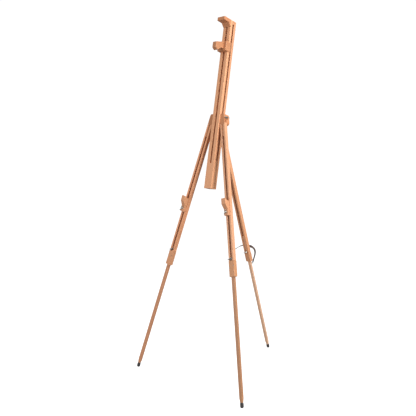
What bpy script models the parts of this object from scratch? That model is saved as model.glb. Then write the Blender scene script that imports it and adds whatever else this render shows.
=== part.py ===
"""Wooden artist easel: a tripod of slotted, extending legs and a sliding, tilting mast."""
import math

import bmesh
import bpy
from mathutils import Matrix, Vector

for item in list(bpy.data.objects):
    bpy.data.objects.remove(item, do_unlink=True)

# Angles, in degrees
MAST_LEAN = 10.44          # mast and front legs, back from upright
LEG_SPLAY = 13.49          # each front leg out from the mast
REAR_LEG_ANGLE = 19.13     # rear leg, back from upright

# Clearances
GAP = 0.0003               # between pieces that touch
SLIDE_PLAY = 0.0004        # each side of a sliding piece
HOLE_PLAY = 0.0003         # round a bolt in its hole

# Mast, measured along itself from the head's centre
MAST_WIDTH = 0.056
MAST_TOP = 0.6505
MAST_LENGTH = 1.033
BOARD_THICKNESS = 0.0185
BOARD_SPACE = 0.0124
MAST_FRONT = -0.0193       # front face, ahead of the legs' middle plane
SLOT_WIDTH = 0.012
TOP_BLOCK_LENGTH = 0.022
BOTTOM_BLOCK_LENGTH = 0.172
MAST_SOLID_FOOT = 0.1536   # below the front slot

# Hook on top of the mast
HOOK_REACH = 0.0624
HOOK_HEIGHT = 0.021
HOOK_GUSSET = 0.022

# Sliding canvas clamp
CLAMP_MIDDLE = 0.482       # bolt height on the mast
CLAMP_HEIGHT = 0.056
CLAMP_FRONT_THICKNESS = 0.026
CLAMP_CHEEK = 0.0045
CLAMP_STUD_DEPTH = 0.018   # of the stud in the clamp's back
CLAMP_ARM_WIDTH = 0.028
CLAMP_ARM_REACH = 0.093
CLAMP_ARM_DROP = 0.030

# Bolts and wing nuts
BOLT_RADIUS = 0.003
BOLT_HEAD_RADIUS = 0.0075
BOLT_HEAD_HEIGHT = 0.003
WASHER_RADIUS = 0.0085
WASHER_THICKNESS = 0.0012
NUT_RADIUS = 0.006
NUT_HEIGHT = 0.009
NUT_WING_SPAN = 0.034
NUT_WING_HEIGHT = 0.016
NUT_WING_THICKNESS = 0.0022
HEAD_NUT_SIZE = 1.2        # of the head's wing nut against the others

# Head
HEAD_BOLT_HEIGHT = 0.053
PIVOT_HEIGHT = 0.024
PIVOT_OUT = 0.0188         # of each front leg's pivot from the mast's side
SHOULDER_TOP = 0.0745
PIVOT_COVER = 0.003        # of wood left in front of each pivot bolt
TONGUE_THICKNESS = 0.008
BACK_BLOCK_BOTTOM = -0.012
BACK_BLOCK_TOP = 0.034
BACK_BLOCK_DEPTH = 0.036
BACK_BLOCK_OVERLAP = 0.008   # of the back block over each arm
BACK_ARM_DEPTH = 0.0245
HINGE_BACK = 0.0500        # rear leg's hinge, behind the legs' middle plane
HINGE_HEIGHT = -0.030

# Legs: across, fore and aft, and along from the pivot
LEG_WIDTH = 0.035
LEG_DEPTH = 0.024
RAIL_TIP = 0.007           # top of a front rail's horn, below the pivot
KNUCKLE_PLAY = 0.0005      # between a shoulder's round end and the rails under it
TENON_LENGTH = 0.090
SLOT_END = 0.834
COLLAR_LENGTH = 0.093
COLLAR_OUT = 0.0015        # of the collar's sides over the leg's
COLLAR_FORWARD = 0.00175   # of its front and back over the leg's
RIVET_DROP = 0.036         # of the rivets below the collar's top
RIVET_STAGGER = 0.006      # of each rivet from that height
FRONT_LEG_LENGTH = 1.6264
REAR_SLOT_END = 0.826
REAR_COLLAR_LENGTH = 0.064

# Sliding rods and feet
ROD_WIDTH = 0.020
ROD_DEPTH = 0.015
ROD_OVERLAP = 0.021        # of the rod's top above the slot's end
REAR_ROD_OVERLAP = 0.121
LOCK_HEAD_RADIUS = 0.0095
REAR_STUD_DEPTH = 0.004    # of the rear lock stud behind the rod's middle
LOCK_NUT_TURNS = {"left": 20, "right": 20, "rear": 8}   # where each wing nut came to rest, degrees
LOCK_SETBACK = 0.0095      # lock bolt above the slot's end
ROD_PEG_RADIUS = 0.0055
ROD_PEG_LENGTH = 0.010
ROD_TAPER = 0.022
FOOT_RADIUS = 0.0103
FOOT_FLAT = 0.0011         # worn off the bottom of each ball

# Canvas rests on the front legs
REST_START = 0.4745        # top of the rest below the pivot
REST_HEIGHT = 0.100
REST_WIDTH = 0.029
REST_REACH = 0.0385        # of the lip, ahead of the leg
REST_SHANK = 0.0185
REST_LIP_HEIGHT = 0.0335
REST_NOSE = 0.0625         # where the slope under the lip meets the shank
REST_SEAT_DROP = 0.0135
REST_SEAT_FRONT = 0.0115
REST_BOLT_DROP = 0.080
REST_HEAD_RADIUS = 0.0105

# Strap on the rear leg
STRAP_HEIGHT = 0.782       # below the rear hinge
STRAP_WIDTH = 0.016
STRAP_THICKNESS = 0.0026
STRAP_TWIST = 0.028        # over which it turns on edge beside the leg
BUCKLE_WIDTH = 0.023
BUCKLE_LENGTH = 0.020
BUCKLE_WIRE = 0.0013

# Worked out from the sizes above
LEAN = math.radians(MAST_LEAN)
SPLAY = math.radians(LEG_SPLAY)
REAR = math.radians(REAR_LEG_ANGLE)
PIVOT_OFFSET = MAST_WIDTH / 2 + PIVOT_OUT
TONGUE_RADIUS = 0.4 * LEG_WIDTH
MAST_DEPTH = 2 * BOARD_THICKNESS + BOARD_SPACE
MAST_BACK = MAST_FRONT + MAST_DEPTH
SPACE_MIDDLE = MAST_FRONT + MAST_DEPTH / 2
MAST_BOTTOM = MAST_TOP - MAST_LENGTH
BALL_HEIGHT = FOOT_RADIUS - FOOT_FLAT
FRONT_DROP = FRONT_LEG_LENGTH * math.cos(SPLAY) - PIVOT_HEIGHT
HEAD_Z = BALL_HEIGHT + FRONT_DROP * math.cos(LEAN)
FRONT_FOOT_Y = -FRONT_DROP * math.sin(LEAN)
HINGE_Y = HINGE_BACK * math.cos(LEAN) + HINGE_HEIGHT * math.sin(LEAN)
HINGE_Z = HEAD_Z - HINGE_BACK * math.sin(LEAN) + HINGE_HEIGHT * math.cos(LEAN)
REAR_REACH = (HINGE_Z - BALL_HEIGHT) * math.tan(REAR)
REAR_LEG_LENGTH = (HINGE_Z - BALL_HEIGHT) / math.cos(REAR)
HEAD_Y = -(FRONT_FOOT_Y + HINGE_Y + REAR_REACH) / 2

PARTS = bpy.data.collections.new("wooden_artist_easel")
CUTTERS = bpy.data.collections.new("cutters")
for group in (PARTS, CUTTERS):
    bpy.context.scene.collection.children.link(group)
CUTTERS.hide_render = True

HEAD = Matrix.Translation((0, HEAD_Y, HEAD_Z)) @ Matrix.Rotation(-LEAN, 4, "X")
LEG_FRAMES = {}
for side, sign in (("left", -1), ("right", 1)):
    LEG_FRAMES[side] = (
        HEAD
        @ Matrix.Translation((sign * PIVOT_OFFSET, 0, PIVOT_HEIGHT))
        @ Matrix.Rotation(-sign * SPLAY, 4, "Y")
    )
LEG_FRAMES["rear"] = Matrix.Translation((0, HEAD_Y + HINGE_Y, HINGE_Z)) @ Matrix.Rotation(REAR, 4, "X")

# Frames that turn a piece built along +Z so that it runs along another axis
ALONG_X = Matrix.Rotation(math.radians(90), 4, "Y")
ALONG_BACK = Matrix.Rotation(math.radians(-90), 4, "X")
ALONG_FRONT = Matrix.Rotation(math.radians(90), 4, "X")


def make_material(name, colour, roughness, metallic=0.0):
    material = bpy.data.materials.new(name)
    material.use_nodes = True
    shader = material.node_tree.nodes["Principled BSDF"]
    shader.inputs["Base Color"].default_value = (*colour, 1)
    shader.inputs["Roughness"].default_value = roughness
    shader.inputs["Metallic"].default_value = metallic
    material.diffuse_color = (*colour, 1)
    return material


def wood(name, tint=1.0):
    return make_material(name + "_wood", (0.62 * tint, 0.33 * tint, 0.16 * tint), 0.5)


def steel(name):
    return make_material(name + "_steel", (0.55, 0.55, 0.56), 0.35, 1.0)


def add_object(name, mesh, material, frame):
    item = bpy.data.objects.new(name, mesh)
    item.matrix_world = frame
    mesh.materials.clear()
    if material is None:
        CUTTERS.objects.link(item)
        item.hide_render = True
        item.display_type = "WIRE"
    else:
        mesh.materials.append(material)
        PARTS.objects.link(item)
    return item


def mesh_from(build, name):
    mesh = bpy.data.meshes.new(name)
    shape = bmesh.new()
    build(shape)
    bmesh.ops.recalc_face_normals(shape, faces=shape.faces)
    shape.to_mesh(mesh)
    shape.free()
    return mesh


def box(name, low, high, material, frame):
    """A block between two corners."""
    low, high = Vector(low), Vector(high)
    size, middle = high - low, (low + high) / 2

    def build(shape):
        bmesh.ops.create_cube(shape, size=1, matrix=Matrix.Translation(middle) @ Matrix.Diagonal((*size, 1)))

    return add_object(name, mesh_from(build, name), material, frame)


def pin(name, radius, start, end, material, frame, segments=24, end_radius=None):
    """A cylinder or cone along its own Z, from start to end."""

    def build(shape):
        bmesh.ops.create_cone(
            shape, cap_ends=True, segments=segments, radius1=radius,
            radius2=radius if end_radius is None else end_radius, depth=end - start,
            matrix=Matrix.Translation((0, 0, (start + end) / 2)),
        )

    item = add_object(name, mesh_from(build, name), material, frame)
    smooth(item)
    return item


def turned(name, profile, material, frame, steps=28):
    """A profile at +X, top to bottom, turned about Z."""

    def build(shape):
        points = [shape.verts.new((x, 0, z)) for x, z in profile]
        for first, second in zip(points, points[1:]):
            shape.edges.new((first, second))

    mesh = bpy.data.meshes.new(name)
    shape = bmesh.new()
    build(shape)
    shape.to_mesh(mesh)
    shape.free()
    item = add_object(name, mesh, material, frame)
    screw = item.modifiers.new("turn", "SCREW")
    screw.steps = screw.render_steps = steps
    screw.use_merge_vertices = True
    screw.merge_threshold = 0.00005
    screw.use_smooth_shade = True
    return item


def flat_shape(name, outlines, thickness, material, frame, turn=None):
    """Flat outlines in X and Y, the first outside and any others holes, made solid along Z."""
    curve = bpy.data.curves.new(name + "_outline", "CURVE")
    curve.dimensions = "2D"
    curve.fill_mode = "BOTH"
    curve.extrude = thickness / 2
    curve.render_resolution_u = 0
    for outline in outlines:
        line = curve.splines.new("POLY")
        line.points.add(len(outline) - 1)
        for point, (x, y) in zip(line.points, outline):
            point.co = (x, y, 0, 1)
        line.use_cyclic_u = True
    holder = bpy.data.objects.new(name + "_outline", curve)
    bpy.context.scene.collection.objects.link(holder)
    bpy.context.view_layer.update()
    solid = bpy.data.meshes.new_from_object(holder.evaluated_get(bpy.context.evaluated_depsgraph_get()))
    bpy.data.objects.remove(holder, do_unlink=True)
    shape = bmesh.new()
    shape.from_mesh(solid)
    bmesh.ops.remove_doubles(shape, verts=shape.verts, dist=0.00001)
    if turn is not None:
        bmesh.ops.transform(shape, matrix=turn, verts=shape.verts)
    bmesh.ops.recalc_face_normals(shape, faces=shape.faces)
    shape.to_mesh(solid)
    shape.free()
    solid.name = name
    return add_object(name, solid, material, frame)


# Turns for outlines given across and up, or fore-aft and up
STAND_ACROSS = Matrix.Rotation(math.radians(90), 4, "X")
STAND_ALONG = Matrix(((0, 0, 1, 0), (1, 0, 0, 0), (0, 1, 0, 0), (0, 0, 0, 1)))


def smooth(item, angle=38):
    for face in item.data.polygons:
        face.use_smooth = True
    item.data.set_sharp_from_angle(angle=math.radians(angle))


def soften(item, width, segments=2, angle=40):
    bevel = item.modifiers.new("soft_edges", "BEVEL")
    bevel.width = width
    bevel.segments = segments
    bevel.limit_method = "ANGLE"
    bevel.angle_limit = math.radians(angle)
    bevel.use_clamp_overlap = True
    return item


def combine(item, other, operation):
    change = item.modifiers.new(operation.lower() + "_" + other.name, "BOOLEAN")
    change.operation = operation
    change.solver = "EXACT"
    change.object = other
    return item


def cut(item, other):
    return combine(item, other, "DIFFERENCE")


def join(item, other):
    return combine(item, other, "UNION")


def arc(centre, radius, start, end, steps):
    """Points round a circle, angles in degrees."""
    points = []
    for step in range(steps + 1):
        angle = math.radians(start + (end - start) * step / steps)
        points.append((centre[0] + radius * math.cos(angle), centre[1] + radius * math.sin(angle)))
    return points


def oblong(width, low, high, steps=8):
    """A slot's outline with round ends, along Y."""
    half = width / 2
    return arc((0, high - half), half, 0, 180, steps) + arc((0, low + half), half, 180, 360, steps)


def make_bolt(name, length, frame, head_radius=BOLT_HEAD_RADIUS):
    """A domed bolt: its head below the origin, its shank along +Z."""
    dome = [(0, -BOLT_HEAD_HEIGHT)]
    for degrees in (35, 65, 90):
        angle = math.radians(degrees)
        dome.append((head_radius * math.sin(angle), -BOLT_HEAD_HEIGHT * (0.2 + 0.8 * math.cos(angle))))
    tip = 0.0006
    profile = dome + [(head_radius, 0), (BOLT_RADIUS, 0), (BOLT_RADIUS, length - tip),
                      (BOLT_RADIUS - tip, length), (0, length)]
    return turned(name, list(reversed(profile)), steel(name), frame, steps=20)


def make_stud(name, start, end, frame):
    """A headless bolt along Z, with a chamfered outer end."""
    profile = [(0, end), (BOLT_RADIUS - 0.0006, end), (BOLT_RADIUS, end - 0.0006), (BOLT_RADIUS, start),
               (0, start)]
    return turned(name, profile, steel(name), frame, 20)


def make_washer(name, start, frame, radius=WASHER_RADIUS):
    inner, outer = BOLT_RADIUS + HOLE_PLAY, radius
    outline = [arc((0, 0), outer, 0, 360 - 15, 23), arc((0, 0), inner, 0, 360 - 22.5, 15)]
    item = flat_shape(name, outline, WASHER_THICKNESS, steel(name), frame @ Matrix.Translation(
        (0, 0, start + WASHER_THICKNESS / 2)))
    return item


def make_wing_nut(name, frame, size=1.0):
    """A wing nut with its seat at the origin and its wings rising along +Z."""
    hub = pin(name, (NUT_RADIUS + 0.0008) * size, 0, NUT_HEIGHT * size, steel(name), frame, 24,
              (NUT_RADIUS - 0.0008) * size)
    half = NUT_WING_SPAN / 2
    wing = [(0.0042, 0.0016), (0.0085, 0.0052)]
    wing += [(half - 0.0035, 0.0085), (half - 0.0006, NUT_WING_HEIGHT - 0.0040)]
    wing += arc((half - 0.0038, NUT_WING_HEIGHT - 0.0034), 0.0034, 0, 150, 6)
    wing += [(0.0085, 0.0105), (0.0042, NUT_HEIGHT - 0.0012)]
    wing = [(x * size, z * size) for x, z in wing]
    for turn, label in ((0, "a"), (180, "b")):
        blade = flat_shape(name + "_wing_" + label, [wing], NUT_WING_THICKNESS * size, None,
                           frame @ Matrix.Rotation(math.radians(turn), 4, "Z"), STAND_ACROSS)
        join(hub, blade)
    hole = pin(name + "_hole", BOLT_RADIUS + 0.0004, -0.01, 0.03, None, frame, 20)
    cut(hub, hole)
    smooth(hub)
    return hub


# ---- Head: two shoulders and the block behind them ----
pivot_radius = LEG_WIDTH / 2 - 0.0002
shoulder_inner = MAST_WIDTH / 2 + 0.0007


def shoulder_side(height):
    """How far out the shoulder's sloping side is at a height."""
    return PIVOT_OFFSET + pivot_radius / math.cos(SPLAY) - (height - PIVOT_HEIGHT) * math.tan(SPLAY)


bolt_line = HEAD @ Matrix.Translation((0, SPACE_MIDDLE, HEAD_BOLT_HEIGHT)) @ ALONG_X
head_flat = shoulder_side(HEAD_BOLT_HEIGHT) - 0.0027
shoulder_top_round = 0.010
corner_height = SHOULDER_TOP - shoulder_top_round
shoulder_corner = (shoulder_side(corner_height) - shoulder_top_round / math.cos(SPLAY), corner_height)
block_front = LEG_DEPTH / 2 + GAP
arm_back = block_front + BACK_ARM_DEPTH
block_half = MAST_WIDTH / 2 + BACK_BLOCK_OVERLAP
block = box("head_back_block", (-block_half, MAST_BACK + 0.0008, BACK_BLOCK_BOTTOM),
            (block_half, block_front + BACK_BLOCK_DEPTH, BACK_BLOCK_TOP),
            wood("head_back_block"), HEAD)
soften(block, 0.0014, 3)
for side, sign in (("left", -1), ("right", 1)):
    name = "head_shoulder_" + side
    outline = arc((PIVOT_OFFSET, PIVOT_HEIGHT), pivot_radius, -180, LEG_SPLAY, 20)
    outline += arc(shoulder_corner, shoulder_top_round, LEG_SPLAY, 90, 7)
    outline += arc((shoulder_inner + 0.005, SHOULDER_TOP - 0.005), 0.005, 90, 180, 4)
    outline = [(sign * max(x, shoulder_inner), z) for x, z in outline]
    shoulder = flat_shape(name, [outline], LEG_DEPTH, wood(name), HEAD, STAND_ACROSS)
    soften(shoulder, 0.0008, 2, 50)
    pocket = box(name + "_pocket", (sign * PIVOT_OFFSET - 0.03, -TONGUE_THICKNESS / 2 - SLIDE_PLAY, -0.02),
                 (sign * PIVOT_OFFSET + 0.03, TONGUE_THICKNESS / 2 + SLIDE_PLAY,
                  PIVOT_HEIGHT + TONGUE_RADIUS + 0.0012), None, HEAD)
    cut(shoulder, pocket)
    cut(shoulder, pin(name + "_bolt_hole", BOLT_RADIUS + HOLE_PLAY, -0.09, 0.09, None, bolt_line))
    arm_middle = HEAD @ Matrix.Translation((0, block_front + BACK_ARM_DEPTH / 2, 0))
    arm = flat_shape("head_back_arm_" + side, [outline], BACK_ARM_DEPTH, None, arm_middle, STAND_ACROSS)
    soften(arm, 0.0008, 2, 50)
    join(block, arm)
    flat_end = (head_flat, head_flat + 0.03) if sign > 0 else (-head_flat - 0.03, -head_flat)
    washer_flat = pin(name + "_flat", WASHER_RADIUS + 0.0014, *flat_end, None, bolt_line, 28)
    cut(shoulder, washer_flat)
    cut(block, washer_flat)
    pivot_line = HEAD @ Matrix.Translation((sign * PIVOT_OFFSET, 0, PIVOT_HEIGHT))
    pivot_end = LEG_DEPTH / 2 - PIVOT_COVER
    pivot_hole = pin(name + "_pivot_hole", BOLT_RADIUS + HOLE_PLAY, -0.1, pivot_end + GAP, None,
                     pivot_line @ ALONG_FRONT)
    cut(shoulder, pivot_hole)
    cut(block, pivot_hole)
    make_bolt("front_pivot_bolt_" + side, arm_back + GAP + pivot_end,
              pivot_line @ Matrix.Translation((0, arm_back + GAP, 0)) @ ALONG_FRONT)

slot_half = SLOT_WIDTH / 2
tongue_outline = [(MAST_BACK + 0.0030, 0.010), (MAST_BACK + 0.0030, HINGE_HEIGHT + 0.006)]
tongue_outline += arc((HINGE_BACK, HINGE_HEIGHT), 0.0115, 190, 360, 12)
tongue_outline += [(HINGE_BACK + 0.0080, BACK_BLOCK_BOTTOM + 0.004), (HINGE_BACK - 0.003, 0.010)]
tongue = flat_shape("head_tongue", [tongue_outline], SLOT_WIDTH - 2 * SLIDE_PLAY, None, HEAD, STAND_ALONG)
join(block, tongue)
hinge_line = HEAD @ Matrix.Translation((0, HINGE_BACK, HINGE_HEIGHT)) @ ALONG_X
cut(block, pin("back_block_hinge_hole", BOLT_RADIUS + HOLE_PLAY, -0.05, 0.05, None, hinge_line))

# Head bolt, from its dome on the left to its wing nut on the right
washer_start = head_flat + GAP
make_washer("head_washer_right", washer_start, bolt_line)
make_washer("head_washer_left", -washer_start - WASHER_THICKNESS, bolt_line)
head_start = -washer_start - WASHER_THICKNESS - GAP
nut_start = washer_start + WASHER_THICKNESS + GAP
make_bolt("head_bolt", nut_start + 0.019 - head_start, bolt_line @ Matrix.Translation((0, 0, head_start)))
make_wing_nut("head_wing_nut", bolt_line @ Matrix.Translation((0, 0, nut_start))
              @ Matrix.Rotation(math.radians(90), 4, "Z"), HEAD_NUT_SIZE)
rear_hinge_half = LEG_WIDTH / 2 + GAP
make_bolt("rear_hinge_bolt", 2 * rear_hinge_half + 0.0015,
          hinge_line @ Matrix.Translation((0, 0, -rear_hinge_half)))

# ---- Mast ----
slot_low, slot_high = MAST_BOTTOM + MAST_SOLID_FOOT, MAST_TOP - TOP_BLOCK_LENGTH
half_width = MAST_WIDTH / 2
board_outline = [(-half_width, MAST_BOTTOM), (half_width, MAST_BOTTOM),
                 (half_width, MAST_TOP), (-half_width, MAST_TOP)]
for name, middle in (("mast_front_board", MAST_FRONT + BOARD_THICKNESS / 2),
                     ("mast_rear_board", MAST_BACK - BOARD_THICKNESS / 2)):
    board = flat_shape(name, [board_outline, oblong(SLOT_WIDTH, slot_low, slot_high)], BOARD_THICKNESS,
                       wood(name), HEAD @ Matrix.Translation((0, middle, 0)), STAND_ACROSS)
    soften(board, 0.0012, 2, 60)
space_low, space_high = MAST_FRONT + BOARD_THICKNESS + GAP, MAST_BACK - BOARD_THICKNESS - GAP
for name, low, high in (("mast_top_block", MAST_TOP - TOP_BLOCK_LENGTH, MAST_TOP),
                        ("mast_bottom_block", MAST_BOTTOM, MAST_BOTTOM + BOTTOM_BLOCK_LENGTH)):
    spacer = box(name, (-half_width, space_low, low), (half_width, space_high, high), wood(name), HEAD)
    soften(spacer, 0.0006, 1)
front = MAST_FRONT - GAP
hook_low = MAST_TOP - HOOK_HEIGHT
hook_outline = [(front, MAST_TOP), (front - HOOK_REACH, MAST_TOP), (front - HOOK_REACH, hook_low),
                (front - HOOK_GUSSET, hook_low), (front, hook_low - HOOK_GUSSET)]
hook = flat_shape("mast_top_hook", [hook_outline], MAST_WIDTH, wood("mast_top_hook", 0.85), HEAD,
                  STAND_ALONG)
soften(hook, 0.0012, 2, 20)

# Slide block: turns on the head bolt and runs in the space between the boards
block_half = (BOARD_SPACE - 2 * SLIDE_PLAY) / 2
slide = box("mast_slide_block", (-half_width, -block_half, -0.022), (half_width, block_half, 0.022),
            wood("mast_slide_block", 0.8), HEAD @ Matrix.Translation((0, SPACE_MIDDLE, HEAD_BOLT_HEIGHT)))
soften(slide, 0.0008, 1)
cut(slide, pin("slide_block_hole", BOLT_RADIUS + HOLE_PLAY, -0.09, 0.09, None, bolt_line))

# ---- Sliding canvas clamp ----
clamp_frame = HEAD @ Matrix.Translation((0, 0, CLAMP_MIDDLE))
cheek_in = half_width + SLIDE_PLAY
cheek_out = cheek_in + CLAMP_CHEEK
front = MAST_FRONT - SLIDE_PLAY
clamp_half = CLAMP_HEIGHT / 2
clamp = box("clamp_block", (-cheek_out, front - CLAMP_FRONT_THICKNESS, -clamp_half),
            (cheek_out, MAST_FRONT + BOARD_THICKNESS + 0.002, clamp_half), wood("clamp_block"), clamp_frame)
soften(clamp, 0.0018, 2)
cut(clamp, box("clamp_board_way", (-cheek_in, front, -0.1), (cheek_in, 0.05, 0.1), None, clamp_frame))
arm_back = front - CLAMP_FRONT_THICKNESS + 0.004
arm_front = front - CLAMP_ARM_REACH
arm_top, arm_low = clamp_half - 0.001, -clamp_half + 0.010
arm_outline = [(arm_back, arm_top), (arm_front, arm_top - CLAMP_ARM_DROP + 0.008),
               (arm_front, arm_low - CLAMP_ARM_DROP + 0.019),
               (arm_front + 0.018, arm_low - CLAMP_ARM_DROP + 0.007),
               (arm_front + 0.050, arm_low + 0.001), (arm_back, arm_low + 0.001)]
arm = flat_shape("clamp_arm", [arm_outline], CLAMP_ARM_WIDTH, None, clamp_frame, STAND_ALONG)
soften(arm, 0.0012, 2, 15)
join(clamp, arm)
clamp_line = clamp_frame @ ALONG_BACK
stud_start = front - CLAMP_STUD_DEPTH
cut(clamp, pin("clamp_stud_hole", BOLT_RADIUS + HOLE_PLAY, stud_start - GAP, 0.1, None, clamp_line))
clamp_seat = MAST_BACK + SLIDE_PLAY
make_washer("clamp_washer", clamp_seat, clamp_line, 0.0125)
clamp_nut_start = clamp_seat + WASHER_THICKNESS + GAP
make_stud("clamp_stud", stud_start, clamp_nut_start + 0.017, clamp_line)
make_wing_nut("clamp_wing_nut", clamp_line @ Matrix.Translation((0, 0, clamp_nut_start))
              @ Matrix.Rotation(math.radians(90), 4, "Z"))


# ---- Legs ----
def make_leg(side, slot_end, collar_length, rod_overlap, length):
    frame = LEG_FRAMES[side]
    front_leg = side != "rear"
    half, depth = LEG_WIDTH / 2, LEG_DEPTH / 2
    rod_half, rod_depth = ROD_WIDTH / 2, ROD_DEPTH / 2
    collar_end = slot_end + collar_length
    rail_end = slot_end - GAP
    for label, sign in (("left_rail", -1), ("right_rail", 1)):
        name = side + "_leg_" + label
        inner, outer = (slot_half, half) if sign > 0 else (-half, -slot_half)
        if front_leg:
            rail = box(name, (inner, -depth, -rail_end), (outer, depth, -RAIL_TIP), wood(name), frame)
            cut(rail, pin(name + "_knuckle", pivot_radius + KNUCKLE_PLAY, -0.05, 0.05, None,
                          frame @ ALONG_BACK, 64))
            groove_top = 0.05
        else:
            round_top = arc((0, 0), depth, 0, 180, 14) + [(-depth, -rail_end), (depth, -rail_end)]
            rail = flat_shape(name, [round_top], half - slot_half, wood(name),
                              frame, Matrix.Translation((sign * (half + slot_half) / 2, 0, 0)) @ STAND_ALONG)
            groove_top = -0.060
        soften(rail, 0.0013, 2, 50)
        groove = box(name + "_groove", (-rod_half - SLIDE_PLAY, -rod_depth - SLIDE_PLAY, -collar_end - 0.05),
                     (rod_half + SLIDE_PLAY, rod_depth + SLIDE_PLAY, groove_top), None, frame)
        cut(rail, groove)
        if not front_leg:
            cut(rail, pin(name + "_hinge_hole", BOLT_RADIUS + HOLE_PLAY, -0.05, 0.05, None, frame @ ALONG_X))
    if front_leg:
        name = side + "_leg_tenon"
        neck = rod_half - 0.002
        outline = arc((0, 0), TONGUE_RADIUS, 0, 180, 14)
        cheek, throat = 0.52 * pivot_radius, 0.867 * pivot_radius
        outline += [(-TONGUE_RADIUS, -cheek), (-neck, -throat), (-neck, -0.030),
                    (neck, -0.030), (neck, -throat), (TONGUE_RADIUS, -cheek)]
        plate = flat_shape(name, [outline], TONGUE_THICKNESS, wood(name, 0.9), frame, STAND_ACROSS)
        stem = box(name + "_stem", (-rod_half + 0.0001, -rod_depth + 0.0001, -TENON_LENGTH),
                   (rod_half - 0.0001, rod_depth - 0.0001, -pivot_radius - 0.0017), None, frame)
        join(plate, stem)
        cut(plate, pin(name + "_hole", BOLT_RADIUS + HOLE_PLAY, -0.05, 0.05, None, frame @ ALONG_BACK))
    name = side + "_leg_collar"
    wide, deep = LEG_WIDTH / 2 + COLLAR_OUT, LEG_DEPTH / 2 + COLLAR_FORWARD
    collar = box(name, (-wide, -deep, -collar_end), (wide, deep, -slot_end), wood(name), frame)
    soften(collar, 0.0022, 2)
    cut(collar, box(name + "_way", (-rod_half - SLIDE_PLAY, -rod_depth - SLIDE_PLAY, -collar_end - 0.05),
                    (rod_half + SLIDE_PLAY, rod_depth + SLIDE_PLAY, 0), None, frame))
    for label, sign in (("left", -1), ("right", 1)):
        place = Vector((sign * (wide + rod_half) / 2, 0, sign * RIVET_STAGGER - slot_end - RIVET_DROP))
        line = frame @ Matrix.Translation(place) @ ALONG_BACK
        cut(collar, pin(side + "_rivet_hole_" + label, 0.0016 + GAP, -0.05, 0.05, None, line, 16))
        make_rivet(side + "_leg_rivet_" + label, deep + 0.0014, line, deep)
    make_rod(side, frame, slot_end, rod_overlap, length)


def make_rivet(name, reach, line, seat):
    profile = [(0, reach), (0.0024, reach - 0.0004), (0.0030, seat + GAP), (0.0016, seat + GAP),
               (0.0016, -seat - GAP), (0.0030, -seat - GAP), (0.0024, 0.0004 - reach), (0, -reach)]
    return turned(name, profile, steel(name), line, 16)


def make_rod(side, frame, slot_end, overlap, length):
    name = side + "_rod"
    rod_half, rod_depth = ROD_WIDTH / 2, ROD_DEPTH / 2
    top = slot_end - overlap
    tip = length - FOOT_RADIUS * 0.9
    shoulder = tip - ROD_PEG_LENGTH

    def build(shape):
        bmesh.ops.create_cube(shape, size=1, matrix=Matrix.Translation((0, 0, -(top + shoulder) / 2))
                              @ Matrix.Diagonal((ROD_WIDTH, ROD_DEPTH, shoulder - top, 1)))
        bmesh.ops.bisect_plane(shape, geom=shape.verts[:] + shape.edges[:] + shape.faces[:],
                               plane_co=(0, 0, -shoulder + ROD_TAPER), plane_no=(0, 0, 1))
        for vert in shape.verts:
            if vert.co.z < -shoulder + 0.0001:
                vert.co.x *= (ROD_PEG_RADIUS + 0.0012) / rod_half
                vert.co.y *= (ROD_PEG_RADIUS + 0.0010) / rod_depth

    rod = add_object(name, mesh_from(build, name), wood(name), frame)
    soften(rod, 0.0012, 2, 30)
    peg_end = -shoulder - ROD_PEG_LENGTH
    join(rod, pin(name + "_peg", ROD_PEG_RADIUS, peg_end, -shoulder + 0.003, None, frame, 20))
    line = frame @ Matrix.Translation((0, 0, LOCK_SETBACK - slot_end)) @ ALONG_FRONT
    seat = LEG_DEPTH / 2 + SLIDE_PLAY
    lock_end = seat + WASHER_THICKNESS + 0.0155
    if side == "rear":
        cut(rod, pin(name + "_stud_hole", BOLT_RADIUS + HOLE_PLAY, -REAR_STUD_DEPTH - GAP, 0.05, None, line))
        make_stud("rear_lock_stud", -REAR_STUD_DEPTH, lock_end, line)
    else:
        cut(rod, pin(name + "_lock_hole", BOLT_RADIUS + HOLE_PLAY, -0.05, 0.05, None, line))
        make_bolt(side + "_lock_bolt", seat + lock_end, line @ Matrix.Translation((0, 0, -seat)),
                  LOCK_HEAD_RADIUS)
    make_washer(side + "_lock_washer", seat, line)
    make_wing_nut(side + "_lock_wing_nut", line @ Matrix.Translation((0, 0, seat + WASHER_THICKNESS + GAP))
                  @ Matrix.Rotation(math.radians(LOCK_NUT_TURNS[side]), 4, "Z"))
    make_foot(side, frame, length, shoulder)


def make_foot(side, frame, length, shoulder):
    name = side + "_foot"
    top = shoulder + GAP
    socket = shoulder + ROD_PEG_LENGTH + GAP
    bore = ROD_PEG_RADIUS + GAP
    profile = [(0, -socket), (bore, -socket), (bore, -top), (FOOT_RADIUS - 0.0022, -top),
               (FOOT_RADIUS - 0.0012, -top - 0.0012), (FOOT_RADIUS, -length + 0.004)]
    for degrees in range(0, 91, 15):
        angle = math.radians(degrees)
        profile.append((FOOT_RADIUS * math.cos(angle), -length - FOOT_RADIUS * math.sin(angle)))
    profile[-1] = (0, -length - FOOT_RADIUS)
    foot = turned(name, profile, make_material(name + "_rubber", (0.025, 0.022, 0.024), 0.6), frame, 28)
    ball = frame @ Vector((0, 0, -length))
    cut(foot, box(name + "_floor_cut", (ball.x - 0.05, ball.y - 0.05, -0.06),
                  (ball.x + 0.05, ball.y + 0.05, 0), None, Matrix.Identity(4)))


make_leg("left", SLOT_END, COLLAR_LENGTH, ROD_OVERLAP, FRONT_LEG_LENGTH)
make_leg("right", SLOT_END, COLLAR_LENGTH, ROD_OVERLAP, FRONT_LEG_LENGTH)
make_leg("rear", REAR_SLOT_END, REAR_COLLAR_LENGTH, REAR_ROD_OVERLAP, REAR_LEG_LENGTH)

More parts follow.
